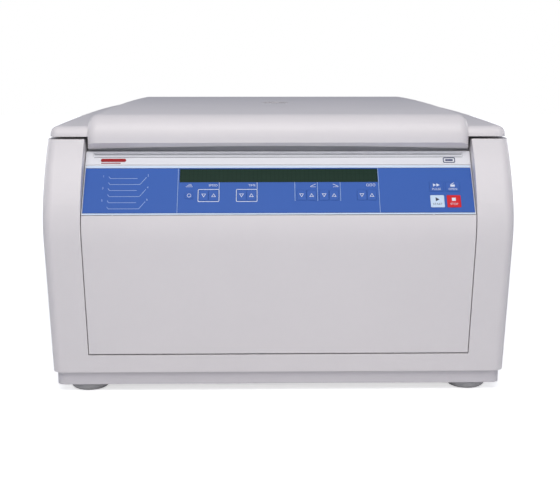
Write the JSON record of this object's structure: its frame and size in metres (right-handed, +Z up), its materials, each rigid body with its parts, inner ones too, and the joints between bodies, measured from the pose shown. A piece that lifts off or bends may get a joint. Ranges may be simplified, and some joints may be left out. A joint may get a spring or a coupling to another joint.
{
  "type": "laboratory centrifuge",
  "caption": "Bench-top laboratory centrifuge with a rear-hinged lid, sloping keypad panel and a swing-bucket rotor inside a round steel chamber.",
  "frame": {"origin": "centre of the footprint, on the bench surface", "axes": "+X to the right seen from the front, +Y towards the back, +Z up"},
  "size_m": [0.57, 0.67, 0.35],
  "materials": {
    "shell_plastic": "satin moulded warm white",
    "bezel_plastic": "satin moulded light grey",
    "keypad_film": "blue printed film",
    "key_film": "blue printed film over a key",
    "start_film": "pale blue key",
    "stop_film": "red key",
    "display_lens": "dark green display lens",
    "circuit_board": "solder mask",
    "cabinet_paint": "fine textured powder coat",
    "base_paint": "light grey powder coat",
    "stainless": "drawn and brushed",
    "guard_steel": "rolled plate",
    "ground_steel": "ground bright",
    "black_rubber": "matt",
    "foot_rubber": "matt grey",
    "motor_iron": "dark enamel",
    "rotor_aluminium": "hard anodised",
    "bucket_aluminium": "anodised",
    "knob_plastic": "black moulded",
    "black_plastic": "black moulded",
    "plug_plastic": "light grey cap",
    "viewing_glass": "clear polycarbonate",
    "power_supply": "black-edged heat sink"
  },
  "bodies": {
    "cabinet": {"base_tray": "base_paint", "rubber_feet": "foot_rubber", "front_fascia": "shell_plastic", "front_panel": "shell_plastic", "control_bezel": "bezel_plastic", "keypad_overlay": "keypad_film", "display_window": "display_lens", "control_board": "circuit_board", "left_side_panel": "cabinet_paint", "right_side_panel": "cabinet_paint", "rear_panel": "cabinet_paint", "deck_plate": "cabinet_paint", "chamber_bowl": "stainless", "chamber_seal": "black_rubber", "guard_ring": "guard_steel", "motor_mount_plate": "guard_steel", "motor_dampers": "black_rubber", "motor_housing": "motor_iron", "motor_bearings": "ground_steel", "shaft_boot": "black_rubber", "power_electronics": "power_supply", "mains_inlet": "black_plastic", "data_port_cover": "black_plastic", "lid_release_plug": "plug_plastic", "hinge_brackets": "guard_steel", "hinge_pins": "ground_steel", "hinge_springs": "ground_steel", "lock_brackets": "guard_steel", "lock_actuator": "black_plastic"},
    "lid": {"lid_cover": "shell_plastic", "lid_inner_plate": "stainless", "lid_window": "viewing_glass", "lid_hinge_arms": "guard_steel", "lid_strikers": "ground_steel"},
    "lid_lock": {"lock_hooks": "ground_steel", "lock_shaft": "ground_steel"},
    "rotor": {"drive_shaft": "ground_steel", "motor_armature": "motor_iron", "rotor_yoke": "rotor_aluminium", "rotor_knob": "knob_plastic"},
    "power_rocker": {"power_switch": "black_plastic"},
    "bucket_1": {"bucket_1": "bucket_aluminium"},
    "bucket_2": {"bucket_2": "bucket_aluminium"},
    "bucket_3": {"bucket_3": "bucket_aluminium"},
    "bucket_4": {"bucket_4": "bucket_aluminium"},
    "acceleration_down_key": {"acceleration_down_key": "key_film"},
    "acceleration_up_key": {"acceleration_up_key": "key_film"},
    "braking_down_key": {"braking_down_key": "key_film"},
    "braking_up_key": {"braking_up_key": "key_film"},
    "bucket_down_key": {"bucket_down_key": "key_film"},
    "bucket_up_key": {"bucket_up_key": "key_film"},
    "mode_key": {"mode_key": "key_film"},
    "open_key": {"open_key": "key_film"},
    "pulse_key": {"pulse_key": "key_film"},
    "speed_down_key": {"speed_down_key": "key_film"},
    "speed_up_key": {"speed_up_key": "key_film"},
    "start_key": {"start_key": "start_film"},
    "stop_key": {"stop_key": "stop_film"},
    "time_down_key": {"time_down_key": "key_film"},
    "time_up_key": {"time_up_key": "key_film"}
  },
  "joints": [
    {"name": "lid_hinge", "type": "hinge", "parent": "cabinet", "child": "lid", "pos_m": [0, 0.3195, 0.317], "axis": [-1, 0, 0], "range_deg": [0, 75]},
    {"name": "lid_lock_turn", "type": "hinge", "parent": "cabinet", "child": "lid_lock", "pos_m": [0, -0.222, 0.268], "axis": [1, 0, 0], "range_deg": [0, 40]},
    {"name": "rotor_spin", "type": "hinge", "parent": "cabinet", "child": "rotor", "pos_m": [0, 0.01, 0.2], "axis": [0, 0, 1], "continuous": true},
    {"name": "power_rocker_tilt", "type": "hinge", "parent": "cabinet", "child": "power_rocker", "pos_m": [-0.205, 0.328, 0.11], "axis": [-1, 0, 0], "range_deg": [0, 14]},
    {"name": "bucket_1_swing", "type": "hinge", "parent": "rotor", "child": "bucket_1", "pos_m": [0.098, 0.01, 0.255], "axis": [0, -1, 0], "range_deg": [0, 90]},
    {"name": "bucket_2_swing", "type": "hinge", "parent": "rotor", "child": "bucket_2", "pos_m": [0, 0.108, 0.255], "axis": [1, 0, 0], "range_deg": [0, 90]},
    {"name": "bucket_3_swing", "type": "hinge", "parent": "rotor", "child": "bucket_3", "pos_m": [-0.098, 0.01, 0.255], "axis": [0, 1, 0], "range_deg": [0, 90]},
    {"name": "bucket_4_swing", "type": "hinge", "parent": "rotor", "child": "bucket_4", "pos_m": [0, -0.088, 0.255], "axis": [-1, 0, 0], "range_deg": [0, 90]},
    {"name": "acceleration_down_press", "type": "slide", "parent": "cabinet", "child": "acceleration_down_key", "axis": [0, 0.7986, -0.6018], "range_m": [0, 0.0006], "stiffness_N_per_m": 400},
    {"name": "acceleration_up_press", "type": "slide", "parent": "cabinet", "child": "acceleration_up_key", "axis": [0, 0.7986, -0.6018], "range_m": [0, 0.0006], "stiffness_N_per_m": 400},
    {"name": "braking_down_press", "type": "slide", "parent": "cabinet", "child": "braking_down_key", "axis": [0, 0.7986, -0.6018], "range_m": [0, 0.0006], "stiffness_N_per_m": 400},
    {"name": "braking_up_press", "type": "slide", "parent": "cabinet", "child": "braking_up_key", "axis": [0, 0.7986, -0.6018], "range_m": [0, 0.0006], "stiffness_N_per_m": 400},
    {"name": "bucket_down_press", "type": "slide", "parent": "cabinet", "child": "bucket_down_key", "axis": [0, 0.7986, -0.6018], "range_m": [0, 0.0006], "stiffness_N_per_m": 400},
    {"name": "bucket_up_press", "type": "slide", "parent": "cabinet", "child": "bucket_up_key", "axis": [0, 0.7986, -0.6018], "range_m": [0, 0.0006], "stiffness_N_per_m": 400},
    {"name": "mode_press", "type": "slide", "parent": "cabinet", "child": "mode_key", "axis": [0, 0.7986, -0.6018], "range_m": [0, 0.0006], "stiffness_N_per_m": 400},
    {"name": "open_press", "type": "slide", "parent": "cabinet", "child": "open_key", "axis": [0, 0.7986, -0.6018], "range_m": [0, 0.0006], "stiffness_N_per_m": 400},
    {"name": "pulse_press", "type": "slide", "parent": "cabinet", "child": "pulse_key", "axis": [0, 0.7986, -0.6018], "range_m": [0, 0.0006], "stiffness_N_per_m": 400},
    {"name": "speed_down_press", "type": "slide", "parent": "cabinet", "child": "speed_down_key", "axis": [0, 0.7986, -0.6018], "range_m": [0, 0.0006], "stiffness_N_per_m": 400},
    {"name": "speed_up_press", "type": "slide", "parent": "cabinet", "child": "speed_up_key", "axis": [0, 0.7986, -0.6018], "range_m": [0, 0.0006], "stiffness_N_per_m": 400},
    {"name": "start_press", "type": "slide", "parent": "cabinet", "child": "start_key", "axis": [0, 0.7986, -0.6018], "range_m": [0, 0.0006], "stiffness_N_per_m": 400},
    {"name": "stop_press", "type": "slide", "parent": "cabinet", "child": "stop_key", "axis": [0, 0.7986, -0.6018], "range_m": [0, 0.0006], "stiffness_N_per_m": 400},
    {"name": "time_down_press", "type": "slide", "parent": "cabinet", "child": "time_down_key", "axis": [0, 0.7986, -0.6018], "range_m": [0, 0.0006], "stiffness_N_per_m": 400},
    {"name": "time_up_press", "type": "slide", "parent": "cabinet", "child": "time_up_key", "axis": [0, 0.7986, -0.6018], "range_m": [0, 0.0006], "stiffness_N_per_m": 400}
  ]
}
